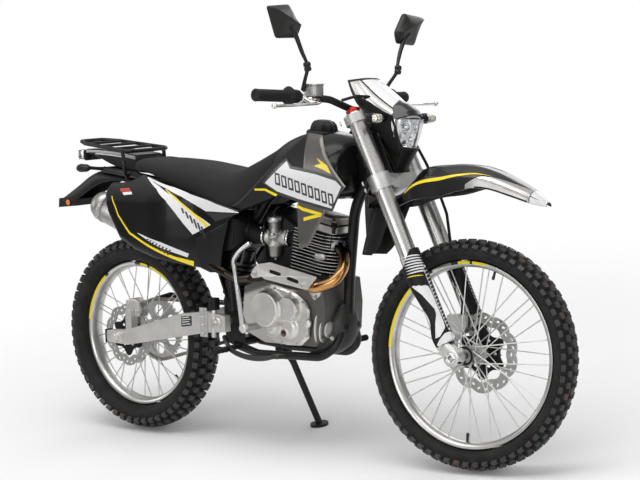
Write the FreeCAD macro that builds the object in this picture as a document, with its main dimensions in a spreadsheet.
"""A dual-sport motorcycle, leaning on its side stand with the steering a little to the left.

Every piece is modelled on the upright machine: +X forward from the rear axle, +Y to the rider's
left, +Z up from the ground, in millimetres.  Steered pieces are modelled with the steering straight.
The last step leans the machine until both tyres and the side stand's foot touch the floor.
"""
import FreeCAD, Part
import math
import os
import re

import Sketcher
from FreeCAD import Placement, Rotation, Vector

SIZES = [
    # alias, value, what it is
    ("wheelbase", 1379, "rear axle to front axle, steering straight"),
    ("rake", 24.6, "steering axis from the vertical, degrees"),
    ("trail", 92, "steering axis at the ground, ahead of the front contact"),
    ("steering_lock", 40, "steering, from straight ahead to either stop, degrees"),
    ("steer_angle", 7, "how far the steering stands to the left, degrees"),
    ("lean_angle", 9, "how far the stored machine leans to the left, degrees"),
    ("running_gap", 0.3, "between pieces that are held close but are separate"),

    ("front_radius", 345, "front tyre, over the knobs"),
    ("front_half_width", 43, "front tyre's carcass"),
    ("front_knob", 10, "knob height, front"),
    ("front_tyre_height", 64.5, "front tyre, from the rim's flange to over the knobs"),
    ("front_rim_radius", "=front_radius - front_tyre_height", "front rim, over its flanges"),
    ("front_rim_half", 24, "front rim, half its width"),
    ("front_hub_radius", 31, "front hub's flanges"),
    ("front_hub_half", 33, "front hub, centre to flange"),
    ("front_disc_radius", 122, "front brake disc"),
    ("front_disc_side", 58, "front disc's plane, to the left"),
    ("front_axle_radius", 10, "hollow front axle, outside"),
    ("front_axle_bore", 7, "hollow front axle, bore radius"),

    ("rear_radius", 325, "rear tyre, over the knobs"),
    ("rear_half_width", 56, "rear tyre's carcass"),
    ("rear_knob", 12, "knob height, rear"),
    ("rear_tyre_height", 82.5, "rear tyre, from the rim's flange to over the knobs"),
    ("rear_rim_radius", "=rear_radius - rear_tyre_height", "rear rim, over its flanges"),
    ("rear_rim_half", 28, "rear rim, half its width"),
    ("rear_hub_radius", 38, "rear hub's flanges"),
    ("rear_hub_half", 36, "rear hub, centre to flange"),
    ("rear_disc_radius", 105, "rear brake disc"),
    ("rear_disc_side", 74, "rear disc's plane, to the right"),
    ("rear_axle_radius", 9, "rear axle"),
    ("knob_pitches", 32, "knobs round each tyre, in a row"),
    ("spokes_per_side", 18, "spokes at each hub flange"),
    ("spoke_radius", 1.9, "spoke"),
    ("disc_thickness", 4, "brake discs"),
    ("rim_lip", 3, "rims, flange thickness"),
    ("rim_depth", 19, "rims, flange to inner face"),

    ("leg_spread", 105, "fork leg's centre, from the middle"),
    ("leg_offset", 40, "fork leg's centre, ahead of the steering axis"),
    ("outer_tube_radius", 27, "fork outer tube"),
    ("inner_tube_radius", 19, "fork inner tube"),
    ("outer_tube_low", 658, "outer tube's lower end, along the steering axis from the ground"),
    ("lower_clamp_low", 898, "lower clamp's underside, along the steering axis"),
    ("lower_clamp_height", 48, "lower clamp"),
    ("upper_clamp_low", 1116, "upper clamp's underside, along the steering axis"),
    ("upper_clamp_height", 28, "upper clamp"),
    ("clamp_wall", 8, "clamps, round the tubes"),
    ("head_tube_radius", 27, "frame's head tube"),
    ("stem_radius", 15, "steering stem"),

    ("bar_radius", 11, "handlebar tube"),
    ("bar_half_width", 405, "handlebar, middle to grip end"),
    ("grip_radius", 17, "grips"),
    ("grip_length", 122, "grips"),

    ("main_tube", 17, "main frame tubes, radius"),
    ("cradle_tube", 13, "cradle and subframe tubes, radius"),
    ("pivot_forward", 464, "swingarm pivot, ahead of the rear axle"),
    ("pivot_height", 398, "swingarm pivot, above the ground"),
    ("arm_side", 114, "swingarm box's middle, from the centre line"),
    ("arm_width", 26, "swingarm box, across"),
    ("pivot_plate_side", 46, "pivot plates' inner face, from the centre line"),

    ("cylinder_lean", 11, "cylinder, forward from the vertical, degrees"),
    ("cylinder_forward", 815, "cylinder base's middle"),
    ("cylinder_base", 566, "cylinder base, above the ground"),
    ("fin_pitch", 10.5, "cooling fins, one to the next"),
    ("fin_thickness", 3.2, "cooling fins"),
    ("cylinder_fins", 9, "fins on the cylinder"),
    ("head_fins", 4, "fins on the head"),
    ("fin_back", 91, "fins, behind the bore's middle"),
    ("fin_front", 82, "fins, ahead of the bore's middle"),
    ("fin_half_width", 66, "fins, to the sides of the bore"),
    ("case_half_width", 92, "crankcase, centre line to its side joint faces"),
    ("cover_depth", 50, "clutch cover, out from the crankcase"),

    ("chain_pitch_radius", 104, "rear sprocket, at the chain's pins"),
    ("small_pitch_radius", 30, "front sprocket, at the chain's pins"),
    ("chain_side", 77, "chain's middle, to the left"),
    ("chain_half_height", 7, "chain plates, half their height"),
    ("header_radius", 17, "exhaust header, outside"),
    ("muffler_radius", 49, "muffler"),
    ("panel_thickness", 3.5, "plastic covers"),
    ("hose_radius", 4.5, "brake hose, outside"),
    ("rack_tube", 6.5, "luggage rack tube, radius"),
    ("stand_tube", 11, "side stand leg, radius"),
    ("pin_clearance", 0.1, "round a pin in its hole, radius"),
    ("stand_pin", 8, "side stand's pivot pin, radius"),
    ("stand_pivot_forward", 548, "side stand's pivot, ahead of the rear axle"),
    ("stand_pivot_side", 106, "side stand's pivot, from the centre line"),
    ("stand_pivot_height", 286, "side stand's pivot, above the ground"),
    ("stand_reach", 600, "side stand's foot, ahead of the rear axle"),
    ("stand_out", 205, "side stand's foot, from the centre line of the upright machine"),
]

doc = FreeCAD.newDocument("DirtBike")
sheet = doc.addObject("Spreadsheet::Sheet", "Sizes")
for row, (alias, number, what) in enumerate(SIZES, start=1):
    sheet.set(f"A{row}", alias)
    sheet.set(f"B{row}", str(number))
    sheet.set(f"C{row}", what)
    sheet.setAlias(f"B{row}", alias)
doc.recompute()
ALIASES = {alias for alias, _, _ in SIZES}
X, Y, Z = Vector(1, 0, 0), Vector(0, 1, 0), Vector(0, 0, 1)
PIECES = []


def bound(text):
    """An expression with each size's name turned into the sheet's cell."""
    return re.sub(r"[a-z_]+", lambda word: "Sizes." + word.group() if word.group() in ALIASES else word.group(),
                  str(text))


def size(text):
    """The value, in millimetres or degrees, of an expression of the sheet's sizes."""
    return float(sheet.evalExpression(bound(text)))


def is_sized(text):
    return "Sizes." in bound(text)


# ---------------------------------------------------------------- making pieces

def piece(thing, body, local=Placement()):
    """Notes a finished object, the rigid body it moves with, and its place on the upright machine."""
    PIECES.append((thing, body, local))
    return thing


def shaped(name, shape, body):
    """A piece whose shape comes from Part's own functions, with the place that the shape has."""
    thing = doc.addObject("Part::Feature", name)
    thing.Label = name
    thing.Shape = shape
    return piece(thing, body, thing.Placement)


def new_body(name):
    thing = doc.addObject("PartDesign::Body", name)
    thing.Label = name
    return thing


def sketch(part, role, loops, offset="0"):
    """A sketch on one of a body's own planes; each loop is corners (x, y) or a circle (x, y, radius)."""
    drawing = part.newObject("Sketcher::SketchObject", part.Name + "_sketch")
    face = next(feature for feature in part.Origin.OriginFeatures if feature.Role == role)
    drawing.AttachmentSupport = [(face, "")]
    drawing.MapMode = "FlatFace"
    drawing.setExpression("AttachmentOffset.Base.z", bound(offset))

    def fix(kind, *where, text):
        number = drawing.addConstraint(Sketcher.Constraint(kind, *where, size(text)))
        if is_sized(text):
            drawing.setExpression(f"Constraints[{number}]", bound(text))

    for loop in loops:
        first = drawing.GeometryCount
        if isinstance(loop, tuple):
            x, y, radius = loop
            drawing.addGeometry(Part.Circle(Vector(size(x), size(y), 0), Z, size(radius)), False)
            fix("DistanceX", -1, 1, first, 3, text=x)
            fix("DistanceY", -1, 1, first, 3, text=y)
            fix("Radius", first, text=radius)
            continue
        points = [Vector(size(x), size(y), 0) for x, y in loop]
        for start, end in zip(points, points[1:] + points[:1]):
            drawing.addGeometry(Part.LineSegment(start, end), False)
        for step, (x, y) in enumerate(loop):
            drawing.addConstraint(Sketcher.Constraint("Coincident", first + step, 2,
                                                      first + (step + 1) % len(loop), 1))
            fix("DistanceX", -1, 1, first + step, 1, text=x)
            fix("DistanceY", -1, 1, first + step, 1, text=y)
    return drawing


def turned(part, loops):
    """Revolves (across, radius) outlines about the body's own Y axis."""
    turn = part.newObject("PartDesign::Revolution", part.Name + "_turned")
    turn.Profile = sketch(part, "YZ_Plane", loops)
    turn.ReferenceAxis = (turn.Profile[0], ["H_Axis"])
    turn.Angle = 360
    doc.recompute()
    return turn


def pad(part, role, loops, length, offset="0", both=False):
    """Pads outlines from a plane: XZ_Plane pads towards -Y, XY_Plane towards +Z, YZ_Plane towards +X."""
    made = part.newObject("PartDesign::Pad", part.Name + "_pad")
    made.Profile = sketch(part, role, loops, offset)
    made.SideType = "Symmetric" if both else "One side"
    made.setExpression("Length", bound(length))
    doc.recompute()
    return made


def pocket(part, role, loops, offset="0"):
    """Cuts outlines right through, both ways."""
    before = part.Shape.Volume
    cut = part.newObject("PartDesign::Pocket", part.Name + "_pocket")
    cut.Profile = sketch(part, role, loops, offset)
    cut.Type = "ThroughAll"
    cut.SideType = "Symmetric"
    doc.recompute()
    if part.Shape.Volume >= before:
        raise ValueError(f"{part.Name}: a pocket cuts nothing")
    return cut


def round_array(part, feature, count):
    """Repeats a feature about the body's own Y axis."""
    ring = part.newObject("PartDesign::PolarPattern", part.Name + "_ring")
    ring.Originals = [feature]
    ring.Axis = (next(item for item in part.Origin.OriginFeatures if item.Role == "Y_Axis"), [""])
    ring.Angle = 360
    ring.setExpression("Occurrences", bound(count))
    part.Tip = ring
    doc.recompute()
    return ring


# ---------------------------------------------------------------- Part's own shapes

def points(*rows):
    return [Vector(*row) for row in rows]


def mirrored(shape):
    """The shape and its mirror image across the centre line, as one compound."""
    return Part.makeCompound(shape.Solids + shape.mirror(Vector(), Y).Solids)


def fused(*shapes):
    whole = shapes[0].fuse(list(shapes[1:]))
    clean = whole.removeSplitter()
    return clean if clean.isValid() else whole


def solids(*shapes):
    """Separate solids of one piece, gathered without joining."""
    return Part.makeCompound([solid for shape in shapes for solid in shape.Solids])


def rod(start, end, radius):
    """A round bar between two points."""
    along = end - start
    return Part.makeCylinder(radius, along.Length, start, along)


def route(corners, bend):
    """Straight runs through the corners, joined by tangent arcs of at most the bend's radius."""
    edges, here = [], corners[0]
    for before, corner, after in zip(corners, corners[1:], corners[2:]):
        to_corner, from_corner = (corner - before).normalize(), (after - corner).normalize()
        half_turn = to_corner.getAngle(from_corner) / 2
        room = 0.48 * min((corner - before).Length, (after - corner).Length)
        reach = min(bend * math.tan(half_turn), room)
        start, end = corner - to_corner * reach, corner + from_corner * reach
        inward = (from_corner - to_corner).normalize()
        radius = reach / math.tan(half_turn)
        middle = corner + inward * (radius / math.cos(half_turn) - radius)
        edges.append(Part.LineSegment(here, start).toShape())
        edges.append(Part.Arc(start, middle, end).toShape())
        here = end
    edges.append(Part.LineSegment(here, corners[-1]).toShape())
    return Part.Wire(edges)


def tube(corners, radius, bend=60):
    """A round bar bent through the corners."""
    path = route(corners, bend)
    section = Part.Wire(Part.makeCircle(radius, corners[0], corners[1] - corners[0]))
    return path.makePipeShell([section], True, False)


def plate(outline, low, high):
    """A flat slab: an outline of (forward, height) from one side's distance to the other."""
    corners = [Vector(x, low, z) for x, z in outline]
    return Part.Face(Part.makePolygon(corners + corners[:1])).extrude(Vector(0, high - low, 0))


def block(sections):
    """A closed body whose sections, each a ring of points, are joined by straight lines."""
    faces = [Part.Face(Part.makePolygon(ring + ring[:1])) for ring in (sections[0], sections[-1])]
    for ring, following in zip(sections, sections[1:]):
        for step in range(len(ring)):
            turn = (step + 1) % len(ring)
            corners = [ring[step], ring[turn], following[turn], following[step]]
            normal = (corners[1] - corners[0]).cross(corners[2] - corners[0])
            if abs(normal.normalize().dot(corners[3] - corners[0])) < 1e-7:
                faces.append(Part.Face(Part.makePolygon(corners + corners[:1])))
            else:
                faces.append(Part.makeRuledSurface(Part.makeLine(corners[0], corners[1]),
                                                   Part.makeLine(corners[3], corners[2])))
    shell = Part.makeShell(faces)
    shell.sewShape()
    solid = Part.Solid(Part.makeShell(shell.Faces))
    if solid.Volume < 0:
        solid.reverse()
    return solid


def box(low, high):
    return Part.makeBox(high[0] - low[0], high[1] - low[1], high[2] - low[2], Vector(*low))


# ---------------------------------------------------------------- steering frame

RAKE = math.radians(size("rake"))
AXIS_FOOT = Vector(size("wheelbase + trail"), 0, 0)
# Along the steering axis from the ground: x forward of the axis, y left, z up the axis.
FORK = Placement(AXIS_FOOT, Rotation(Y, -size("rake")))


def fork_point(forward, left, up):
    """A point in the steering frame, as a point of the upright machine."""
    return FORK.multVec(Vector(forward, left, up))


def to_fork(point):
    """A point of the upright machine in the steering frame."""
    return FORK.inverse().multVec(point)


DRAWN_WHEELBASE = 1379      # the wheelbase that the outlines below are given for


def nose(forward, left, up):
    """A point of the steered parts, given for the drawn wheelbase, on the machine as it is sized."""
    return Vector(forward + size("wheelbase") - DRAWN_WHEELBASE, left, up)


def reach(forward):
    """A place between the seat and the steering head, which moves the more the nearer it is to the head."""
    start, end = 560, 980
    share = min(max((forward - start) / (end - start), 0), 1.2)
    return forward + share * (size("wheelbase") - DRAWN_WHEELBASE)


STEER = Placement(Vector(), Rotation(FORK.Rotation.multVec(Z), size("steer_angle")), AXIS_FOOT)
FRONT_AXLE = Vector(size("wheelbase"), 0, size("front_radius"))
REAR_AXLE = Vector(0, 0, size("rear_radius"))
CALIPER = FRONT_AXLE + Vector(-78, size("front_disc_side"), 82)
PIVOT = Vector(size("pivot_forward"), 0, size("pivot_height"))


# ---------------------------------------------------------------- wheels

def make_tyre(name, body, radius, half_width, knob, rim_radius, rim_half, axle):
    """A ring of flat facets with rows of knobs: shoulder knobs and centre knobs half out of step."""
    crown, shoulder = radius - knob, 0.955 * (radius - knob)
    centre_half, shoulder_half = 0.5 * half_width, 0.9 * half_width
    bulge = rim_radius + 0.42 * (radius - rim_radius)
    slope = Vector(0, crown - shoulder, centre_half - shoulder_half)     # across the shoulder strip
    lift = Vector(0, shoulder_half - centre_half, crown - shoulder).normalize() * knob
    # Low and raised corner of each strip's edge, across the tyre: (across, radius).
    low = [(-shoulder_half, shoulder), (-centre_half, crown), (centre_half, crown), (shoulder_half, shoulder)]
    high = [(-shoulder_half - lift.y, shoulder + lift.z), (-centre_half, radius), (centre_half, radius),
            (shoulder_half + lift.y, shoulder + lift.z)]
    wall = [(shoulder_half, shoulder), (half_width, bulge), (rim_half - 2, rim_radius + 1),
            (2 - rim_half, rim_radius + 1), (-half_width, bulge), (-shoulder_half, shoulder)]
    pitches = int(size("knob_pitches"))
    cells = 4 * pitches
    raised = {0: (True, False, True), 1: (True, True, True), 2: (False, True, False), 3: (False, False, False)}

    def at(corner, cell):
        angle = 2 * math.pi * cell / cells
        across, out = corner
        return Vector(out * math.sin(angle), across, out * math.cos(angle))

    def quad(*corners):
        return Part.Face(Part.makePolygon(list(corners) + [corners[0]]))

    faces = []
    for cell in range(cells):
        nearer, farther = cell, cell + 1
        up, up_next = raised[cell % 4], raised[(cell + 1) % 4]
        for strip in range(3):
            edges = high if up[strip] else low
            faces.append(quad(at(edges[strip], nearer), at(edges[strip], farther),
                              at(edges[strip + 1], farther), at(edges[strip + 1], nearer)))
            if up[strip] != up_next[strip]:
                faces.append(quad(at(low[strip], farther), at(high[strip], farther),
                                  at(high[strip + 1], farther), at(low[strip + 1], farther)))
        for line, (left, right) in enumerate([(False, up[0]), (up[0], up[1]), (up[1], up[2]), (up[2], False)]):
            if left != right:
                faces.append(quad(at(low[line], nearer), at(low[line], farther),
                                  at(high[line], farther), at(high[line], nearer)))
        for start, end in zip(wall, wall[1:]):
            faces.append(quad(at(start, nearer), at(start, farther), at(end, farther), at(end, nearer)))
    shell = Part.makeShell(faces)
    shell.sewShape()
    solid = Part.makeSolid(Part.makeShell(shell.Faces))
    if solid.Volume < 0:
        solid.reverse()
    solid.Placement = Placement(axle, Rotation())
    shaped(name, solid, body)


def make_rim(name, body, prefix, axle):
    """A drop-centre rim: two flanges and a shallow well."""
    part = new_body(name)
    flange, half, floor = f"{prefix}_rim_radius", f"{prefix}_rim_half", f"{prefix}_rim_radius - rim_depth"
    turned(part, [[(f"-{half}", flange), (f"-{half}", f"{floor} + 8"), (f"9 - {half}", floor),
                   (f"{half} - 9", floor), (half, f"{floor} + 8"), (half, flange),
                   (f"{half} - rim_lip", flange), (f"{half} - rim_lip", f"{floor} + 11"),
                   (f"{half} - 10", f"{floor} + 4"), (f"10 - {half}", f"{floor} + 4"),
                   (f"rim_lip - {half}", f"{floor} + 11"), (f"rim_lip - {half}", flange)]])
    piece(part, body, Placement(axle, Rotation()))


def spokes(hub_radius, hub_half, rim_inner):
    """Crossed spokes from two hub flanges, alternately on the flange's outer and inner face."""
    count = int(size("spokes_per_side"))
    radius = size("spoke_radius")
    gap = size("running_gap")
    made = []
    for side in (-1, 1):
        for number in range(count):
            outer = number % 2
            way = 1 if outer else -1
            hub_angle = 2 * math.pi * (number + 0.25 * side) / count
            rim_angle = hub_angle + way * math.radians(62)
            across_hub = side * (hub_half + (3 if outer else -3))
            across_rim = side * (9.5 if outer else 3.5)
            foot = hub_radius - 6
            top = rim_inner - gap - 0.4
            start = Vector(foot * math.sin(hub_angle), across_hub, foot * math.cos(hub_angle))
            end = Vector(top * math.sin(rim_angle), across_rim, top * math.cos(rim_angle))
            made.append(rod(start, end, radius))
    return made


def make_front_hub():
    """Front hub with its flanges and spokes."""
    half, flange = size("front_hub_half"), size("front_hub_radius")
    core = Part.makeCylinder(0.68 * flange, 2 * half + 24, Vector(0, -half - 12, 0), Y)
    discs = [Part.makeCylinder(flange, 5, Vector(0, side * half - 2.5, 0), Y) for side in (-1, 1)]
    seat = Part.makeCylinder(0.8 * flange, size("front_disc_side - disc_thickness / 2") - half,
                             Vector(0, half, 0), Y)
    bore = Part.makeCylinder(size("front_axle_radius + running_gap"), 400, Vector(0, -200, 0), Y)
    hub = fused(core, seat, *discs, *spokes(flange, half, size("front_rim_radius - rim_depth"))).cut(bore)
    shaped("front_hub", put(hub, Placement(FRONT_AXLE, Rotation())), "front_wheel")


def make_rear_hub():
    """Rear hub with its spokes and, on the left, the sprocket."""
    half, flange = size("rear_hub_half"), size("rear_hub_radius")
    core = Part.makeCylinder(0.7 * flange, 2 * half + 10, Vector(0, -half - 5, 0), Y)
    discs = [Part.makeCylinder(flange, 6, Vector(0, side * half - 3, 0), Y) for side in (-1, 1)]
    right = Part.makeCylinder(0.82 * flange, size("rear_disc_side - disc_thickness / 2") - half,
                              Vector(0, -half, 0), -Y)
    left = Part.makeCylinder(0.95 * flange, size("chain_side - 3") - half, Vector(0, half, 0), Y)
    teeth = 44
    pitch = size("chain_pitch_radius")
    rim = []
    for tooth in range(teeth):
        for share, out in ((0.0, pitch - 5), (0.3, pitch - 5), (0.45, pitch + 3), (0.7, pitch + 3)):
            angle = 2 * math.pi * (tooth + share) / teeth
            rim.append((out * math.sin(angle), out * math.cos(angle)))
    sprocket = plate(rim, size("chain_side - 3"), size("chain_side + 3"))
    for hole in range(6):
        angle = math.pi * hole / 3
        centre = Vector(0.62 * pitch * math.sin(angle), size("chain_side - 9"), 0.62 * pitch * math.cos(angle))
        sprocket = sprocket.cut(Part.makeCylinder(0.2 * pitch, 18, centre, Y))
    bore = Part.makeCylinder(size("rear_axle_radius + running_gap"), 400, Vector(0, -200, 0), Y)
    hub = fused(core, right, left, *discs, *spokes(flange, half, size("rear_rim_radius - rim_depth")), sprocket)
    shaped("rear_hub", put(hub.cut(bore), Placement(REAR_AXLE, Rotation())), "rear_wheel")


def make_disc(name, body, prefix, side, axle):
    """A brake disc with a lobed rim and two rings of holes."""
    part = new_body(name)
    middle = f"{prefix}_disc_side * {side}"
    radius = f"{prefix}_disc_radius"
    pad(part, "XZ_Plane", [("0", "0", radius), ("0", "0", f"{prefix}_axle_radius + 8")], "disc_thickness",
        offset=f"-({middle} + disc_thickness / 2)")
    notch = pocket(part, "XZ_Plane", [("0", f"{radius} + 9", "13")])
    round_array(part, notch, "10")
    hole = pocket(part, "XZ_Plane", [("0", f"0.58 * {radius}", "13")])
    round_array(part, hole, "8")
    piece(part, body, Placement(axle, Rotation(Y, 18)))


# ---------------------------------------------------------------- fork and steering

def make_fork():
    """Outer tubes, inner tubes with their feet and the axle, guards and the two clamps."""
    spread, offset = size("leg_spread"), size("leg_offset")
    axle = to_fork(FRONT_AXLE)
    outer, inner = size("outer_tube_radius"), size("inner_tube_radius")
    low, top = size("outer_tube_low"), size("upper_clamp_low + upper_clamp_height")
    wall = size("clamp_wall")
    legs = [Vector(offset, side * spread, 0) for side in (-1, 1)]

    tubes = [fused(Part.makeCylinder(outer, top - low, leg + Z * low),
                   Part.makeCylinder(outer + 2, 26, leg + Z * low),
                   Part.makeCylinder(0.8 * outer, 16, leg + Z * top)) for leg in legs]

    feet = []
    for leg, side in zip(legs, (-1, 1)):
        slide = Part.makeCylinder(inner, low - axle.z - 20 - size("running_gap"), leg + Z * (axle.z + 20))
        foot = box((offset - 21, side * spread - 17, axle.z - 26), (axle.x + 22, side * spread + 17, axle.z + 72))
        foot = foot.fuse(Part.makeCylinder(24, 34, Vector(axle.x, side * spread - 17, axle.z), Y))
        feet.append(fused(slide, foot))
    spindle = Part.makeCylinder(size("front_axle_radius"), 2 * spread + 50, Vector(axle.x, -spread - 25, axle.z), Y)
    bore = Part.makeCylinder(size("front_axle_bore"), 2 * spread + 80, Vector(axle.x, -spread - 40, axle.z), Y)
    lowers = fused(*feet, spindle).cut(bore)

    guards = []
    for leg, side in zip(legs, (-1, 1)):
        rings = []
        for up, front, half in ((low + 62, 40, 30), (low - 40, 42, 34), (axle.z + 150, 44, 27), (axle.z + 52, 46, 18)):
            middle = leg + Z * up
            rings.append([middle + Vector(*place) for place in (
                (-8, -half, 0), (front - 14, -half, 0), (front, -0.6 * half, 0), (front, 0.6 * half, 0),
                (front - 14, half, 0), (-8, half, 0))])
        guard = block(rings)
        clear = Part.makeCylinder(outer + 2 + size("running_gap"), 400, leg + Z * (low - size("running_gap")))
        narrow = Part.makeCylinder(inner + 2, 800, leg + Z * (axle.z - 200))
        back = box((offset - 60, side * spread - 29, low - 22), (offset + 12, side * spread + 29, low + 80))
        foot = box((offset - 60, side * spread - 17 - size("running_gap"), axle.z - 60),
                   (axle.x + 22 + size("running_gap"), side * spread + 17 + size("running_gap"),
                    axle.z + 72 + size("running_gap")))
        guards.append(guard.cut([clear, narrow, back, foot]))

    clamps = []
    for start, height in (("lower_clamp_low", "lower_clamp_height"), ("upper_clamp_low", "upper_clamp_height")):
        up, tall = size(start), size(height)
        outline = [(-30, -32), (offset - 10, -spread - 10), (offset + 24, -spread + 6), (offset + 8, 0),
                   (offset + 24, spread - 6), (offset - 10, spread + 10), (-30, 32)]
        corners = [Vector(x, y, up) for x, y in outline]
        web = Part.Face(Part.makePolygon(corners + corners[:1])).extrude(Z * tall)
        rings = [Part.makeCylinder(outer + wall, tall, leg + Z * up) for leg in legs]
        holes = [Part.makeCylinder(outer + 0.1, tall + 20, leg + Z * (up - 10)) for leg in legs]
        clamps.append(fused(web, *rings).cut(holes))
    stem = Part.makeCylinder(size("stem_radius"), size("upper_clamp_low - lower_clamp_low") + 40,
                             Z * (size("lower_clamp_low") + 10))
    bridge = [rod(Vector(offset - 22, side * 40, top - 1), Vector(offset - 22, side * 40, top + 26), 13)
              for side in (-1, 1)]
    return solids(*tubes), lowers, solids(*guards), fused(*clamps, stem, *bridge)


def bar_route():
    """The handlebar's middle line, from its centre out to the left grip's end."""
    centre = fork_point(size("leg_offset") - 22, 0, size("upper_clamp_low + upper_clamp_height") + 26)
    half = size("bar_half_width")
    return [centre, centre + Vector(-2, 62, 0), centre + Vector(-28, 150, 32), nose(921, 240, centre.z + 41),
            nose(885, half, centre.z + 44)]


def make_handlebar():
    """Handlebar, held in two half clamps, with both grips."""
    line = bar_route()
    left = tube(line, size("bar_radius"), 70)
    return fused(left, left.mirror(Vector(), Y))


def bar_place(side, along):
    """A point and direction on the outer straight part, so far in from the grip's end."""
    line = bar_route()
    out = (line[-1] - line[-2]).normalize()
    point = line[-1] - out * along
    return (Vector(point.x, side * point.y, point.z), Vector(out.x, side * out.y, out.z))


def make_hand_controls():
    """Grips, lever perches with levers, and the brake's fluid reservoir."""
    bar = size("bar_radius")
    made = []
    for side in (-1, 1):
        end, out = bar_place(side, 0)
        length = size("grip_length")
        grip = fused(rod(end - out * length, end + out * 5, size("grip_radius")),
                     rod(end - out * (length + 10), end - out * length, size("grip_radius") + 9),
                     rod(end - out * (length + 42), end - out * (length + 10), size("grip_radius") + 4))
        perch_at, _ = bar_place(side, length + 62)
        perch = rod(perch_at - out * 13, perch_at + out * 13, bar + 8)
        hinge = perch_at + Vector(38, 0, -18)
        arm = tube([perch_at + Vector(10, 0, -6), hinge, hinge + out * 70 + Vector(20, 0, -6),
                    hinge + out * 130 + Vector(14, 0, -12), hinge + out * 178 + Vector(24, 0, -14)], 6, 50)
        tip = hinge + out * 180 + Vector(24, 0, -14)
        ball = Part.makeCylinder(9, 14, tip - Z * 7)
        control = fused(grip, perch, arm, ball)
        if side < 0:
            low = perch_at + Vector(18, 18, -4)
            control = fused(control, box((low.x - 22, low.y - 26, low.z), (low.x + 22, low.y + 26, low.z + 40)))
        made.append(control.cut(rod(end - out * 260, end + out * 0.2, bar + 0.1)))
    return solids(*made)


def make_mirrors():
    """Two mirrors on stems that rise from the lever perches."""
    made = []
    for side in (-1, 1):
        perch_at, _ = bar_place(side, size("grip_length") + 62)
        base = perch_at + Z * size("bar_radius + 8")
        stem = tube([base, nose(962, side * 250, 1200), nose(953, side * 300, 1288),
                     nose(955, side * 325, 1310)], 6, 40)
        knuckle = rod(nose(962, side * 249, 1190), nose(961, side * 254, 1211), 11)
        outline = [(318, 1381), (423, 1372), (379, 1280), (280, 1284), (269, 1319)]
        glass = [nose(938, side * y, z) for y, z in outline]
        hull = [nose(966, side * (345 + 0.72 * (y - 345)), 1328 + 0.72 * (z - 1328)) for y, z in outline]
        made.append(fused(stem, knuckle, block([glass, hull])))
    return solids(*made)


def make_front_fender():
    """High front mudguard: a shell that narrows to its tip."""
    # forward, crest height, side height, half width
    stations = [(1046, 798, 778, 52), (1150, 822, 786, 62), (1178, 846, 800, 72), (1206, 890, 818, 78),
                (1319, 910, 832, 80), (1404, 908, 852, 78), (1472, 891, 848, 72), (1538, 862, 826, 58),
                (1600, 824, 800, 36), (1634, 800, 786, 12)]

    def ring(forward, crest, edge, half):
        return [nose(forward, y, z) for y, z in (
            (-half, edge - 2), (-half, edge + 3), (-0.62 * half, crest - 0.2 * (crest - edge)),
            (-0.25 * half, crest), (0.25 * half, crest), (0.62 * half, crest - 0.2 * (crest - edge)),
            (half, edge + 3), (half, edge - 2))]

    def under(forward, crest, edge, half):
        inset = size("panel_thickness")
        return [nose(forward, y, z - inset) for y, z in (
            (-half + inset, edge - 60), (-half + inset, edge + 3), (-0.6 * half, crest - 0.2 * (crest - edge)),
            (-0.25 * half, crest), (0.25 * half, crest), (0.6 * half, crest - 0.2 * (crest - edge)),
            (half - inset, edge + 3), (half - inset, edge - 60))]

    outer = block([ring(*row) for row in stations])
    inner = block([under(*row) for row in stations])
    # height, forward, half width of the flap that hangs behind the fork
    flap_rows = [(796, 1050, 52), (755, 1036, 50), (700, 1022, 47), (632, 1008, 44)]
    curl, wall = 14, size("panel_thickness")
    flap = block([[nose(forward + (curl if abs(part) == 1 else 0) + back, part * half, height)
                   for back, parts in ((0, (-1, -0.6, 0.6, 1)), (wall, (1, 0.6, -0.6, -1))) for part in parts]
                  for height, forward, half in flap_rows])
    shell = outer.cut(inner).fuse(flap)
    clear = [Part.makeCylinder(size("outer_tube_radius") + size("clamp_wall") + 2, 420,
                               Vector(size("leg_offset"), side * size("leg_spread"), 700)) for side in (-1, 1)]
    shell = shell.cut([cylinder.transformGeometry(FORK.toMatrix()) for cylinder in clear])
    under_clamp = size("lower_clamp_low")
    bosses = [rod(fork_point(26, side * 24, under_clamp), fork_point(26, side * 24, under_clamp - 22), 7)
              for side in (-1, 1)]
    return fused(shell, *bosses)


def make_headlight_mask():
    """Number-plate-like mask over the headlamp, with its dark cheeks behind."""
    # height, front edge's forward place, half width, rear edge's forward place
    rows = [(1168, 1034, 88, 992), (1120, 1092, 104, 1026), (1050, 1174, 78, 1060),
            (1000, 1180, 66, 1084), (948, 1186, 40, 1110)]

    def ring(height, front, half, rear, inset):
        return [nose(x, y, height) for x, y in (
            (rear, -half - 6 + inset), (front - 26 - inset, -half + inset), (front - inset, -0.55 * half),
            (front - inset, 0.55 * half), (front - 26 - inset, half - inset), (rear, half + 6 - inset))]

    outer = block([ring(*row, 0) for row in rows])
    inner = block([ring(z, x, half, rear - 30, size("panel_thickness")) for z, x, half, rear in rows])
    window = block([[nose(x, -low, 950), nose(x, low, 950), nose(x, high, 1046), nose(x, -high, 1046)]
                    for x, low, high in ((1090, 30, 60), (1260, 30, 60))])
    return outer.cut([inner, window])


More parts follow.
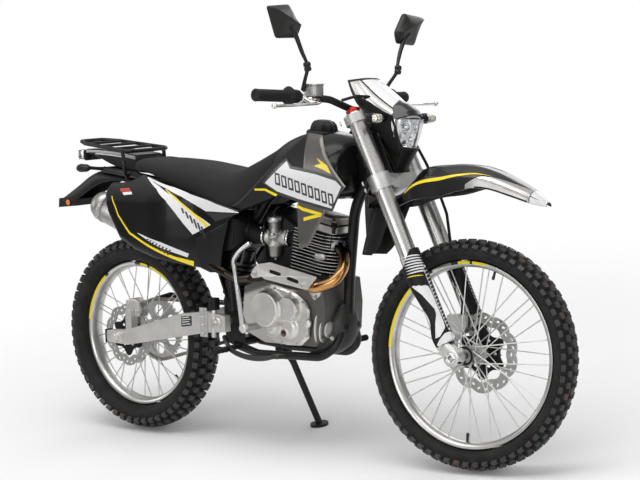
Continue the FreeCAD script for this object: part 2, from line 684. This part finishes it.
def make_front_lights():
    """Headlamp lens and bowl, and two indicators on stalks."""
    lens = block([[nose(x, -low, 952), nose(x, low, 952), nose(x + 4, high, 1044), nose(x + 4, -high, 1044)]
                  for x, low, high in ((1100, 22, 52), (1152, 29, 64), (1176, 29, 64))])
    lamps = [lens]
    for side in (-1, 1):
        stalk = rod(nose(1112, side * 77.5, 1046), nose(1130, side * 140, 1046), 6)
        lamp = block([[nose(x, side * y, z) for y, z in ((142 - grow, 1046 - grow), (142 + 2 * grow, 1046 - grow),
                                                         (142 + 2 * grow, 1046 + grow), (142 - grow, 1046 + grow))]
                      for x, grow in ((1112, 9), (1140, 14), (1152, 12))])
        lamps.append(fused(stalk, lamp))
    return solids(*lamps)


def make_front_caliper():
    """Brake caliper on the left leg, straddling the disc."""
    side = size("front_disc_side")
    centre = CALIPER
    body = box((centre.x - 34, side - 20, centre.z - 30), (centre.x + 34, side + 22, centre.z + 30))
    slot = Part.makeCylinder(size("front_disc_radius") + 5, size("disc_thickness") + 10,
                             FRONT_AXLE + Y * (side - size("disc_thickness") / 2 - 5), Y)
    return body.cut(slot)


# ---------------------------------------------------------------- frame

def make_frame(stand):
    """Head tube, backbone, downtube, double cradle, pivot plates and the side stand's lug and pin."""
    radius, thin = size("main_tube"), size("cradle_tube")
    low, high = size("lower_clamp_low + lower_clamp_height") + 6, size("upper_clamp_low") - 6
    head = rod(fork_point(0, 0, low), fork_point(0, 0, high), size("head_tube_radius"))
    bore = rod(fork_point(0, 0, low - 10), fork_point(0, 0, high + 10), size("stem_radius + pin_clearance"))
    middle = fork_point(0, 0, (low + high) / 2)
    backbone = tube(points((middle.x - 8, 0, middle.z + 4), (860, 0, 905), (600, 0, 805), (470, 0, 640)), radius, 120)
    down = tube(points((middle.x - 10, 0, middle.z - 30), (950, 0, 770), (920, 0, 560), (908, 0, 420)), radius, 200)
    plate_side = size("pivot_plate_side")
    thickness = 14
    cradles = []
    for side in (-1, 1):
        loop = tube(points((910, side * 4, 452), (905, side * 52, 345), (850, side * 66, 308), (600, side * 84, 305),
                           (480, side * 56, 322)), thin, 70)
        upper = tube(points((480, side * 6, 655), (470, side * 44, 620), (462, side * 53, 540),
                            (470, side * 53, 430)), thin, 60)
        slab = plate([(440, 330), (505, 312), (520, 400), (492, 520), (446, 540), (436, 440)],
                     *sorted((side * plate_side, side * (plate_side + thickness))))
        hole = Part.makeCylinder(10.2, 60, PIVOT + Y * (side * plate_side - 30), Y)
        mount = rod(Vector(488, side * 53, 470), Vector(575, side * 53, 470), 9)
        cradles.append(fused(loop, upper, slab, mount).cut(hole))
    cross = rod(Vector(478, -plate_side, 326), Vector(478, plate_side, 326), thin)
    gusset = plate([(middle.x - 22, middle.z - 20), (880, 905), (900, 860), (934, 800), (958, 800)], -5, 5)
    inner = stand.top - stand.axis * (stand.eye_half + 0.5)
    root = stand.top - stand.axis * (size("stand_pivot_side") - 74)
    lug = [rod(root, inner, 16), rod(root, Vector(root.x, root.y, 306), 12),
           rod(inner, stand.top + stand.axis * (stand.eye_half + 8), size("stand_pin"))]
    mount = rod(Vector(905, 0, 440), Vector(868, 0, 440), 12)
    return fused(head, backbone, down, gusset, cross, mount, *cradles, *lug).cut(bore)


def make_subframe():
    """Seat rails and their struts, behind the main frame."""
    thin = size("cradle_tube") - 2
    rails = []
    for side in (-1, 1):
        rail = tube(points((560, side * 34, 772), (470, side * 62, 772), (250, side * 74, 838), (60, side * 74, 866),
                           (-110, side * 46, 878)), thin, 90)
        strut = tube(points((455, side * 70, 560), (380, side * 78, 640), (160, side * 74, 845)), thin, 90)
        rails.extend([rail, strut])
    loops = [rod(Vector(x, -half, z), Vector(x, half, z), thin) for x, half, z in ((-100, 48, 877), (200, 74, 845))]
    return fused(*rails, *loops)


def make_swingarm():
    """Box-section swingarm with its pivot tube, bridge, rear axle and caliper bracket."""
    part_side, width = size("arm_side"), size("arm_width")
    arms = []
    for side in (-1, 1):
        arm = plate([(-52, 306), (50, 301), (420, 366), (500, 372), (500, 424), (420, 434), (300, 420), (50, 352),
                     (-52, 344)], side * (part_side - width / 2), side * (part_side + width / 2))
        slot = rod(Vector(0, side * (part_side - 30), REAR_AXLE.z), Vector(0, side * (part_side + 30), REAR_AXLE.z),
                   size("rear_axle_radius"))
        arms.append(arm.cut(slot))
    axle = rod(REAR_AXLE - Y * (part_side + 30), REAR_AXLE + Y * (part_side + 30), size("rear_axle_radius"))
    nuts = [rod(REAR_AXLE + Y * side * (part_side + width / 2), REAR_AXLE + Y * side * (part_side + 26), 15)
            for side in (-1, 1)]
    bridge = box((366, -part_side + 2, 366), (404, part_side - 2, 414))
    pivot = rod(PIVOT - Y * (part_side + width / 2 + 10), PIVOT + Y * (part_side + width / 2 + 10), 10)
    return fused(*arms, axle, *nuts, bridge, pivot, make_rear_caliper())


# ---------------------------------------------------------------- engine

ENGINE = Placement(Vector(size("cylinder_forward"), 0, size("cylinder_base")), Rotation(Y, size("cylinder_lean")))


def make_crankcase():
    """Crankcase and gearbox in one casting, between the side covers, open round the front sprocket."""
    half = size("case_half_width")
    side_view = [(570, 372), (640, 345), (850, 345), (884, 385), (892, 470), (884, 545), (730, 572), (640, 545),
                 (560, 520), (548, 430)]
    chain_room = box((500, size("chain_side") - 14, 352), (604, half + 1, 452))
    sprocket = rod(Vector(560, size("chain_side") - 15, 402), Vector(560, size("chain_side") + 3, 402),
                   size("small_pitch_radius") - 8)
    return fused(plate(side_view, -half, half).cut(chain_room), sprocket)


def make_engine_covers():
    """Clutch and oil pump cover on the right, generator cover and sprocket cover on the left."""
    joint, depth = size("case_half_width"), size("cover_depth")
    gap = 0
    clutch = fused(Part.makeCylinder(68, depth, Vector(684, -joint - gap, 457), -Y),
                   Part.makeCylinder(44, 0.8 * depth, Vector(768, -joint - gap, 462), -Y),
                   Part.makeCone(92, 80, 0.45 * depth, Vector(716, -joint - gap, 445), -Y))
    generator = fused(Part.makeCylinder(72, 0.8 * depth, Vector(790, joint, 455), Y),
                      Part.makeCone(84, 74, 0.4 * depth, Vector(790, joint, 450), Y))
    return solids(clutch, generator)


def cooling_fin(low, half):
    """One fin, square to the bore: straight sides that end in a half circle at the front."""
    back, middle = size("fin_back"), size("fin_front") - half
    edges = [Part.makeLine(Vector(middle, half, low), Vector(-back, half, low)),
             Part.makeLine(Vector(-back, half, low), Vector(-back, -half, low)),
             Part.makeLine(Vector(-back, -half, low), Vector(middle, -half, low)),
             Part.Arc(Vector(middle, -half, low), Vector(middle + half, 0, low), Vector(middle, half, low)).toShape()]
    return Part.Face(Part.Wire(edges)).extrude(Z * size("fin_thickness"))


def make_cylinder():
    """Barrel with its cooling fins, square to the leaning bore."""
    count, pitch = int(size("cylinder_fins")), size("fin_pitch")
    bore = Part.makeCylinder(56, count * pitch, Vector(0, 0, 0))
    fins = [cooling_fin(step * pitch + 6, size("fin_half_width")) for step in range(count)]
    base = box((-62, -62, -24), (62, 62, 10))
    return fused(bore, base, *fins)


def make_head():
    """Cylinder head with fins, rocker cover and spark plug."""
    start = size("cylinder_fins * fin_pitch")
    count, pitch = int(size("head_fins")), size("fin_pitch")
    core = box((-58, -54, start), (58, 54, start + count * pitch + 6))
    fins = [cooling_fin(start + step * pitch + 4, size("fin_half_width") + 2) for step in range(count)]
    cover = block([[Vector(x, y, start + count * pitch + 6 + up) for x, y in (
        (-66 + taper, -56 + taper), (66 - taper, -56 + taper), (66 - taper, 56 - taper), (-66 + taper, 56 - taper))]
        for up, taper in ((0, 0), (22, 0), (44, 14))])
    return fused(core, cover, *fins)


def make_exhaust_pipe():
    """Header from the head's front, round the right of the engine to the muffler."""
    line = points((884, -20, 658), (935, -41, 628), (962, -78, 590), (945, -108, 552), (890, -125, 535),
                  (800, -148, 545), (700, -150, 566), (640, -146, 556), (560, -122, 545), (500, -108, 560),
                  (430, -110, 590), (300, -138, 640))
    return tube(line, size("header_radius"), 60)


def make_muffler():
    """Tapered canister, rising to the rear."""
    tail, nose = Vector(-44, -142, 776), Vector(290, -138, 645)
    radius = size("muffler_radius")
    along = (nose - tail).normalize()
    can = Part.makeCylinder(radius, (nose - tail).Length - 60, tail + along * 26, along)
    cap = Part.makeCone(0.72 * radius, radius, 26, tail, along)
    cone = Part.makeCone(radius, 20, 34, nose - along * 34, along)
    bore = Part.makeCylinder(15, 60, tail - along * 10, along)
    hanger = rod(Vector(200, -76, 806), Vector(196, -118, 716), 7)
    return fused(can, cap, cone, hanger).cut(bore)


def make_heat_shield():
    """Pressed guard over the header, with two slots and two bolts."""
    inner, outer = -176, -180
    outline = [(664, 570), (683, 593), (700, 605), (752, 613), (937, 575), (898, 534), (724, 560), (715, 567),
               (668, 562)]
    guard = plate(outline, outer, inner)
    slope, reach_back, half_height = -0.22, 25, 6
    for middle, height in ((771, 581), (842, 562)):
        guard = guard.cut(plate([(middle + way * reach_back, height + way * reach_back * slope + rise)
                                 for way, rise in ((-1, half_height), (1, half_height), (1, -half_height),
                                                   (-1, -half_height))], outer - 20, inner + 20))
    posts = [rod(Vector(x, inner - 0.5, z), Vector(x, y, z), 6) for x, y, z in ((683, -148, 573), (884, -126, 546))]
    return fused(guard, *posts)


def make_tank():
    """Fuel tank, saddling the backbone, with its filler cap."""
    # forward, top, half width at the shoulder, half width low, underside
    stations = [(610, 905, 66, 104, 826), (760, 1004, 84, 130, 806), (900, 1012, 96, 150, 790),
                (968, 984, 92, 128, 800)]
    rings = []
    for forward, top, shoulder, wide, under in stations:
        rings.append([Vector(reach(forward), y, z) for y, z in (
            (-wide, under), (-wide, (under + top) / 2), (-shoulder, top - 22), (-0.45 * shoulder, top),
            (0.45 * shoulder, top), (shoulder, top - 22), (wide, (under + top) / 2), (wide, under))])
    tank = block(rings)
    filler, lean = Vector(reach(832), 0, 1008), Vector(0.08, 0, 1)
    cap = fused(Part.makeCylinder(42, 14, filler, lean), Part.makeCylinder(35, 36, filler, lean))
    return fused(tank, cap)


def locked_legs(radius):
    """Rods round both fork legs, from full lock inwards, that hollow the tank's nose."""
    lock = size("steering_lock")
    legs = []
    for side in (-1, 1):
        for turn in (lock, lock - 6, lock - 12):
            leg = Rotation(Z, side * turn).multVec(Vector(size("leg_offset"), side * size("leg_spread"), 0))
            legs.append(rod(FORK.multVec(leg + Z * 900), FORK.multVec(leg + Z * 1200), radius))
    return legs


def panel(outline, levels, thickness):
    """A thin cover: an outline seen from the side, cut from a skin bent through the levels.

    Each level is a height and the skin's line there, as (forward, outward) places.  Outward is to the
    right; the left cover is its mirror image.
    """
    rings = []
    for height, line in levels:
        out = [Vector(x, -y, height) for x, y in line]
        rings.append(out + [Vector(x, -y + thickness, height) for x, y in reversed(line)])
    return block(rings).common(plate(outline, -400, 0))


def make_shrouds():
    """The two covers beside the tank, swept out round the radiator-less engine's sides."""
    outline = [(800, 960), (861, 1010), (925, 1003), (1036, 898), (1084, 856), (995, 785), (903, 668), (857, 657),
               (862, 801), (760, 819), (726, 808), (583, 766), (545, 772), (680, 852)]
    outline = [(reach(forward), height) for forward, height in outline]
    levels = [(640, [(530, 138), (760, 156), (860, 168), (905, 172), (1100, 205)]),
              (850, [(530, 136), (760, 158), (860, 180), (960, 196), (1100, 220)]),
              (1020, [(530, 110), (760, 112), (860, 124), (960, 136), (1100, 160)])]
    levels = [(height, [(reach(forward), outward) for forward, outward in line]) for height, line in levels]
    boss = rod(Vector(880, -120, 880), Vector(880, -170.4, 880), 6)
    return mirrored(fused(panel(outline, levels, size("panel_thickness")), boss))


def make_seat():
    """Long padded seat that climbs onto the tank."""
    # forward, top, side edge height, half width at the edge
    stations = [(66, 914, 892, 70), (140, 916, 890, 96), (300, 908, 842, 112), (480, 886, 790, 116),
                (560, 896, 790, 116), (640, 932, 836, 104), (748, 982, 920, 74)]
    rings = []
    for forward, top, edge, half in stations:
        rings.append([Vector(forward, y, z) for y, z in (
            (-half, edge), (-0.94 * half, edge + 0.7 * (top - edge)), (-0.62 * half, edge + 0.93 * (top - edge)),
            (0, top), (0.62 * half, edge + 0.93 * (top - edge)), (0.94 * half, edge + 0.7 * (top - edge)),
            (half, edge), (0.7 * half, edge - 6), (-0.7 * half, edge - 6))])
    return block(rings)


def make_side_panels():
    """Covers below the seat, over the muffler on the right and the battery side on the left."""
    outline = [(152, 872), (40, 846), (34, 826), (62, 748), (112, 672), (250, 622), (406, 586), (434, 564),
               (478, 562), (539, 734), (583, 762), (552, 772), (400, 815)]
    levels = [(550, [(0, 192), (120, 200), (300, 198), (440, 176), (600, 142)]),
              (700, [(0, 198), (120, 204), (300, 198), (440, 170), (600, 140)]),
              (826, [(0, 196), (120, 196), (300, 160), (440, 140), (600, 138)]),
              (880, [(0, 180), (120, 158), (300, 136), (440, 130), (600, 136)])]
    boss = rod(Vector(400, -66, 793), Vector(400, -151.5, 793), 7)
    return mirrored(fused(panel(outline, levels, size("panel_thickness")), boss))


def make_tail_cover():
    """Short tail cowl behind the seat."""
    rings = [[Vector(forward, y, z) for y, z in (
        (-half, low), (-half, top - 14), (-0.7 * half, top), (0.7 * half, top), (half, top - 14), (half, low))]
        for forward, top, low, half in ((-205, 948, 932, 42), (-163, 948, 926, 46), (-60, 944, 894, 56),
                                        (5, 938, 880, 61), (60, 930, 872, 64))]
    return block(rings)


def make_rear_fender():
    """Mudguard under the tail, its sides turned down, with the plate carrier on its end."""
    # forward, crest height, side edge's height, half width
    stations = [(60, 852, 834, 64), (-60, 864, 842, 62), (-150, 872, 824, 56), (-196, 856, 802, 52),
                (-251, 826, 776, 47), (-335, 780, 762, 40)]
    wall, round_off = 5, 10
    rings = [[Vector(forward, y, z) for y, z in (
        (-half, edge), (-half, crest - round_off), (-0.7 * half, crest), (0.7 * half, crest),
        (half, crest - round_off), (half, edge), (half - wall, edge), (half - wall, crest - round_off - 2),
        (0.66 * half, crest - wall), (-0.66 * half, crest - wall), (-half + wall, crest - round_off - 2),
        (-half + wall, edge))] for forward, crest, edge, half in stations]
    carrier = plate([(-350, 744), (-250, 752), (-242, 778), (-346, 776)], -44, 44)
    return fused(block(rings), carrier)


def make_rear_lights():
    """Tail lamp and two indicators on stalks."""
    lamp = block([[Vector(x, -half, low), Vector(x, half, low), Vector(x, half, high), Vector(x, -half, high)]
                  for x, half, low, high in ((-204, 41, 908, 944), (-246, 36, 914, 940))])
    lamps = [lamp]
    for side in (-1, 1):
        stalk = rod(Vector(-112, side * 46, 881), Vector(-134, side * 100, 888), 6)
        head = block([[Vector(x, side * y, z) for y, z in ((98, 888 - grow), (98 + 3 * grow, 888 - grow),
                                                          (98 + 3 * grow, 888 + grow), (98, 888 + grow))]
                      for x, grow in ((-158, 12), (-130, 14), (-108, 9))])
        lamps.append(fused(stalk, head))
    return solids(*lamps)


def make_rack():
    """Luggage rack: a tube hoop over the tail with cross bars and four legs."""
    radius = size("rack_tube")
    hoop = tube(points((60, 0, 944), (60, -98, 944), (-160, -82, 968), (-214, -50, 974), (-214, 50, 974),
                       (-160, 82, 968), (60, 98, 944), (60, 1, 944)), radius, 25)
    bars = [rod(Vector(x, -half, z), Vector(x, half, z), radius - 1.5)
            for x, half, z in ((-150, 80, 967), (-85, 86, 960), (-15, 90, 952))]
    legs = [tube(points((34, side * 96, 946), (38, side * 96, 900), (38, side * 90, 866), (36, side * 80, 856)),
                 radius, 30) for side in (-1, 1)]
    return fused(hoop, *bars, *legs)


def make_airbox():
    """Air cleaner case and the rubber boot to the carburettor."""
    case = block([[Vector(x, -half, low), Vector(x, half, low), Vector(x, half, high), Vector(x, -half, high)]
                  for x, half, low, high in ((330, 84, 664, 760), (440, 96, 650, 742), (540, 96, 636, 742))])
    boot = rod(Vector(538, -28, 690), Vector(602, -30, 676), 27)
    return fused(case, boot)


def make_carburettor():
    """Carburettor and its short rubber to the cylinder head."""
    bowl = Part.makeCylinder(21, 60, Vector(640, -30, 610))
    throat = rod(Vector(602.5, -30, 676), Vector(752, -18, 665), 22)
    slide_top = Part.makeCylinder(18, 70, Vector(642, -30, 668))
    cap = Part.makeCylinder(22, 14, Vector(642, -30, 728))
    return fused(bowl, throat, slide_top, cap)


def make_shock():
    """Rear shock absorber and spring, upright behind the engine."""
    foot, head = Vector(404, 0, 436), Vector(500, 0, 640)
    along = (head - foot).normalize()
    coils = [Part.makeCylinder(36, 9, foot + along * (44 + 17 * turn), along) for turn in range(8)]
    body = Part.makeCylinder(25, (head - foot).Length - 30, foot + along * 15, along)
    eyes = [Part.makeCylinder(14, 36, end - Y * 18, Y) for end in (foot + along * 14, head - along * 14)]
    return fused(body, *coils, *eyes)


def make_chain():
    """Closed loop of side plates round both sprockets, pinned together between them."""
    rear, small = size("chain_pitch_radius"), size("small_pitch_radius")
    half, side = size("chain_half_height"), size("chain_side")
    front = Vector(560, 0, 402)
    along = front - REAR_AXLE
    reach = along.Length
    tip = math.acos((rear - small) / reach)
    heading = math.atan2(along.z, along.x)

    def band(extra, low, high):
        edges = []
        spots = []
        for centre, radius, start, end in ((REAR_AXLE, rear + extra, heading + tip, heading + 2 * math.pi - tip),
                                           (front, small + extra, heading - tip, heading + tip)):
            spots.append([Vector(centre.x + radius * math.cos(turn), low, centre.z + radius * math.sin(turn))
                          for turn in (start, (start + end) / 2, end)])
        (a, b, c), (d, e, f) = spots
        edges = [Part.Arc(a, b, c).toShape(), Part.makeLine(c, d), Part.Arc(d, e, f).toShape(), Part.makeLine(f, a)]
        return Part.Face(Part.Wire(edges)).extrude(Vector(0, high - low, 0))

    rows = []
    for low, high in ((side - 8, side - 5.5), (side + 5.5, side + 8)):
        rows.append(band(half, low, high).cut(band(-half, low - 1, high + 1)))
    pins = []
    for way in (1, -1):
        start = REAR_AXLE + Vector(rear * math.cos(heading + way * tip), 0, rear * math.sin(heading + way * tip))
        end = front + Vector(small * math.cos(heading + way * tip), 0, small * math.sin(heading + way * tip))
        for step in range(3, 18):
            spot = start + (end - start) * (step / 20)
            pins.append(Part.makeCylinder(3.6, 16, Vector(spot.x, side - 8, spot.z), Y))
    return fused(*rows, *pins)


def make_foot_controls():
    """Footpegs, brake pedal, gear lever and kick-starter."""
    made = []
    for side in (-1, 1):
        peg = fused(box((500, min(side * 150, side * 232), 312), (532, max(side * 150, side * 232), 332)),
                    rod(Vector(508, side * 64, 322), Vector(516, side * 152, 322), 9))
        made.append(peg)
    pedal = tube(points((470, -100, 352), (520, -128, 318), (640, -150, 300), (740, -158, 316)), 7, 50)
    toe = box((735, -182, 312), (770, -146, 322))
    made.append(fused(pedal, toe))
    shifter = tube(points((690, 86, 376), (690, 122, 376), (760, 132, 350), (842, 136, 340)), 6, 12)
    toe = rod(Vector(842, 128, 340), Vector(842, 168, 340), 9)
    made.append(fused(shifter, toe))
    kick = tube(points((622, -149, 398), (622, -176, 398), (614, -182, 500), (606, -186, 612), (650, -190, 652)), 8, 20)
    boss = rod(Vector(622, -90, 398), Vector(622, -186, 398), 15)
    made.append(fused(kick, boss))
    return solids(*made)


def make_skid_plate():
    """Guard bent under the front of the engine: its sides turn back, with three holes in each bend."""
    half, bend, depth, wall = 60, 22, 38, 4
    # forward, height, from the top down the front and back under the engine
    profile = points(*[(x, 0, z) for x, z in ((928, 478), (940, 440), (945, 400), (942, 350), (925, 318), (890, 300),
                                              (830, 290), (740, 280))])
    corner = wall * math.tan(math.radians(22.5))
    # out to the left, back from the front face
    across = [(half, depth), (half, bend), (half - bend, 0), (-half + bend, 0), (-half, bend), (-half, depth),
              (-half + wall, depth), (-half + wall, bend + corner), (-half + bend + corner, wall),
              (half - bend - corner, wall), (half - wall, bend + corner), (half - wall, depth)]
    rings = []
    for before, spot, after in zip(profile[:1] + profile, profile, profile[1:] + profile[-1:]):
        along = (after - before).normalize()
        inward = Vector(along.z, 0, -along.x)
        rings.append([spot + Y * out + inward * back for out, back in across])
    holes = []
    for side in (-1, 1):
        square = Vector(1, side, 0).normalize() * 2 * bend
        for forward, height in ((942, 425), (944, 382), (934, 338)):
            middle = Vector(forward - bend / 2, side * (half - bend / 2), height)
            holes.append(rod(middle - square, middle + square, 7))
    return block(rings).cut(holes)


def make_rear_caliper():
    """Rear caliper on its bracket above the arm."""
    side = size("rear_disc_side")
    centre = REAR_AXLE + Vector(48, 0, 94)
    body = box((centre.x - 32, -side - 20, centre.z - 26), (centre.x + 32, -side + 20, centre.z + 26))
    slot = Part.makeCylinder(size("rear_disc_radius") + 5, size("disc_thickness") + 10,
                             REAR_AXLE - Y * (side + size("disc_thickness") / 2 + 5), Y)
    bracket = box((30, -size("arm_side") + 1, 340), (58, -side - 10, centre.z - 5))
    return fused(body.cut(slot), bracket.cut(slot))


def make_brake_hose(radius):
    """Hydraulic hose from the master cylinder down the left leg to the caliper."""
    line = [fork_point(*place) for place in (
        (44, -150, 1190), (76, -112, 1190), (104, -40, 1172), (108, 40, 1136), (86, 92, 1080), (82, 106, 1020),
        (88, 110, 960), (92, 112, 880), (92, 108, 790), (92, 66, 700), (84, 56, 600), (60, 62, 530))]
    line.append(CALIPER + Vector(4, 12, 60))
    line.append(CALIPER + Vector(0, 12, 30.2))
    return tube(line, radius, 50)


class Stand:
    """The side stand's geometry on the upright machine, from where the leaning machine's floor is."""

    def __init__(self, upright_to_floor):
        floor_to_upright = upright_to_floor.inverse()
        self.top = Vector(size("stand_pivot_forward"), size("stand_pivot_side"), size("stand_pivot_height"))
        foot = upright_to_floor.multVec(Vector(size("stand_reach"), size("stand_out"), 0))
        self.foot = floor_to_upright.multVec(Vector(foot.x, foot.y, 0))
        self.up = floor_to_upright.Rotation.multVec(Z)
        leg = (self.foot - self.top).normalize()
        folded = Vector(-1, 0.12, 0).normalize()
        self.axis = leg.cross(folded).normalize()
        self.swing = math.degrees(leg.getAngle(folded))
        self.eye_half = 12


def make_stand(stand):
    """Side stand: an eye on its pivot pin, a bent leg and a flat foot square to the floor."""
    radius = size("stand_tube")
    along = (stand.foot - stand.top).normalize()
    bend = stand.top + along * 46 + Vector(0, 10, 0)
    leg = tube([stand.top, bend, stand.foot + stand.up * 9], radius, 30)
    eye = rod(stand.top - stand.axis * stand.eye_half, stand.top + stand.axis * stand.eye_half, 17)
    hole = rod(stand.top - stand.axis * 60, stand.top + stand.axis * 60, size("stand_pin + pin_clearance"))
    pad_at_foot = Part.makeCylinder(30, 8, stand.foot, stand.up)
    return fused(leg, eye, pad_at_foot).cut(hole)


# ---------------------------------------------------------------- build

def put(shape, placement):
    """A copy of a shape modelled in its own frame, in its place on the upright machine."""
    copy = shape.copy()
    copy.Placement = placement * copy.Placement
    return copy


def make_wheels():
    for name, axle in (("front", FRONT_AXLE), ("rear", REAR_AXLE)):
        make_tyre(f"{name}_tyre", f"{name}_wheel", size(f"{name}_radius"), size(f"{name}_half_width"),
                  size(f"{name}_knob"), size(f"{name}_rim_radius"), size(f"{name}_rim_half"), axle)
        make_rim(f"{name}_rim", f"{name}_wheel", name, axle)
    make_front_hub()
    make_rear_hub()
    make_disc("front_disc", "front_wheel", "front", 1, FRONT_AXLE)
    make_disc("rear_disc", "rear_wheel", "rear", -1, REAR_AXLE)


def make_steering():
    """Everything that turns with the fork; what is clamped is cut to its seat."""
    tubes, lowers, guards, clamps = make_fork()
    bar = make_handlebar()
    clamps = put(clamps, FORK).cut(bar)
    tubes, lowers, guards = put(tubes, FORK), put(lowers, FORK), put(guards, FORK)
    controls = make_hand_controls().cut(bar)
    mirrors = make_mirrors().cut(controls)
    hose_radius = size("hose_radius")
    mask = make_headlight_mask().cut([clamps, tubes, bar, make_brake_hose(hose_radius + 1)])
    lights = make_front_lights().cut(mask)
    fender = make_front_fender().cut([clamps, tubes])
    caliper = make_front_caliper().cut([lowers, guards])
    hose = make_brake_hose(hose_radius).cut([controls, caliper, guards])
    for name, shape in (("fork_tubes", tubes), ("fork_lowers", lowers), ("fork_guards", guards),
                        ("triple_clamps", clamps), ("handlebar", bar), ("hand_controls", controls),
                        ("mirrors", mirrors), ("headlight_mask", mask), ("front_lights", lights),
                        ("front_fender", fender), ("front_caliper", caliper), ("brake_hose", hose)):
        shaped(name, shape, "steering")


def make_chassis(stand):
    """Everything carried by the frame; covers and soft pieces are cut to what they sit on."""
    frame = make_frame(stand)
    subframe = make_subframe().cut(frame)
    arm = make_swingarm().cut(frame)
    barrel, head = put(make_cylinder(), ENGINE).cut(frame), put(make_head(), ENGINE).cut(frame)
    case = make_crankcase().cut([barrel, frame])
    covers = make_engine_covers().cut(frame)
    chain = make_chain().cut(case)
    shock = make_shock().cut([frame, arm])
    airbox = make_airbox().cut([frame, subframe, shock])
    carburettor = make_carburettor().cut([airbox, barrel, head])
    header = make_exhaust_pipe().cut([head, barrel, frame])
    muffler = make_muffler().cut([header, subframe])
    shield = make_heat_shield().cut(header)
    skid = make_skid_plate().cut([frame, case])
    tank = make_tank().cut([frame, head, *locked_legs(size("outer_tube_radius") + 6)])
    shrouds = make_shrouds().cut(tank)
    seat = make_seat().cut([frame, subframe, shrouds])
    tank = tank.cut(seat)
    panels = make_side_panels().cut([seat, shrouds, muffler, subframe])
    fender = make_rear_fender().cut(subframe)
    tail = make_tail_cover().cut([seat, subframe, fender])
    lights = make_rear_lights().cut([fender, tail, subframe])
    rack = make_rack().cut([tail, seat, subframe])
    controls = make_foot_controls().cut([frame, case, covers])
    for name, shape in (("main_frame", frame), ("subframe", subframe), ("swingarm", arm), ("crankcase", case),
                        ("engine_covers", covers), ("cylinder", barrel), ("cylinder_head", head),
                        ("chain", chain), ("shock_absorber", shock), ("airbox", airbox),
                        ("carburettor", carburettor), ("exhaust_pipe", header), ("muffler", muffler),
                        ("heat_shield", shield), ("skid_plate", skid), ("fuel_tank", tank),
                        ("tank_shrouds", shrouds), ("seat", seat), ("side_panels", panels),
                        ("rear_fender", fender), ("tail_cover", tail), ("rear_lights", lights),
                        ("luggage_rack", rack), ("foot_controls", controls)):
        shaped(name, shape, "chassis")


def lowest(shape, placed):
    """The lowest corner of a shape once placed."""
    return min((placed.multVec(vertex.Point) for vertex in shape.Vertexes), key=lambda spot: spot.z)


def stand_on_tyres(front, rear):
    """The placement that leans the machine and sets both tyres on the floor."""
    pitch, lift = 0.0, 0.0
    for _ in range(6):
        stored = Placement(Vector(0, 0, lift), Rotation(Y, pitch) * Rotation(X, -size("lean_angle")))
        ahead, behind = lowest(front, stored * STEER), lowest(rear, stored)
        pitch += math.degrees((ahead.z - behind.z) / (ahead.x - behind.x))
        lift -= (ahead.z + behind.z) / 2
    return Placement(Vector(0, 0, lift), Rotation(Y, pitch) * Rotation(X, -size("lean_angle")))


def finish():
    """Leans and steers every piece, checks it and writes its file."""
    whole = {thing.Label: thing for thing, _, _ in PIECES}
    centre = Part.makeCompound([thing.Shape for thing in whole.values()]).BoundBox.Center
    shift = Placement(Vector(-centre.x, -centre.y, 0), Rotation())
    for thing, _, _ in PIECES:
        thing.Placement = shift * thing.Placement
    doc.recompute()
    for item in doc.Objects:
        if "Invalid" in item.State or "Error" in item.State:
            raise ValueError(f"{item.Name} is {item.State}")
    for label, thing in whole.items():
        if thing.Shape.isNull() or not thing.Shape.isValid():
            raise ValueError(f"{label} is not a valid solid")
    os.makedirs("parts", exist_ok=True)
    for label, thing in whole.items():
        thing.Shape.exportStep(f"parts/{label}.step")
    return shift


make_wheels()
for thing, _, local in PIECES:
    thing.Placement = local
doc.recompute()
wheels = {thing.Label: thing.Shape for thing, _, _ in PIECES}
UPRIGHT_TO_FLOOR = stand_on_tyres(wheels["front_tyre"], wheels["rear_tyre"])
STAND = Stand(UPRIGHT_TO_FLOOR)
make_steering()
make_chassis(STAND)
shaped("side_stand", make_stand(STAND), "side_stand")
for thing, body, local in PIECES:
    steered = body in ("steering", "front_wheel")
    thing.Placement = UPRIGHT_TO_FLOOR * STEER * local if steered else UPRIGHT_TO_FLOOR * local
doc.recompute()
SHIFT = finish()
STORED = SHIFT * UPRIGHT_TO_FLOOR
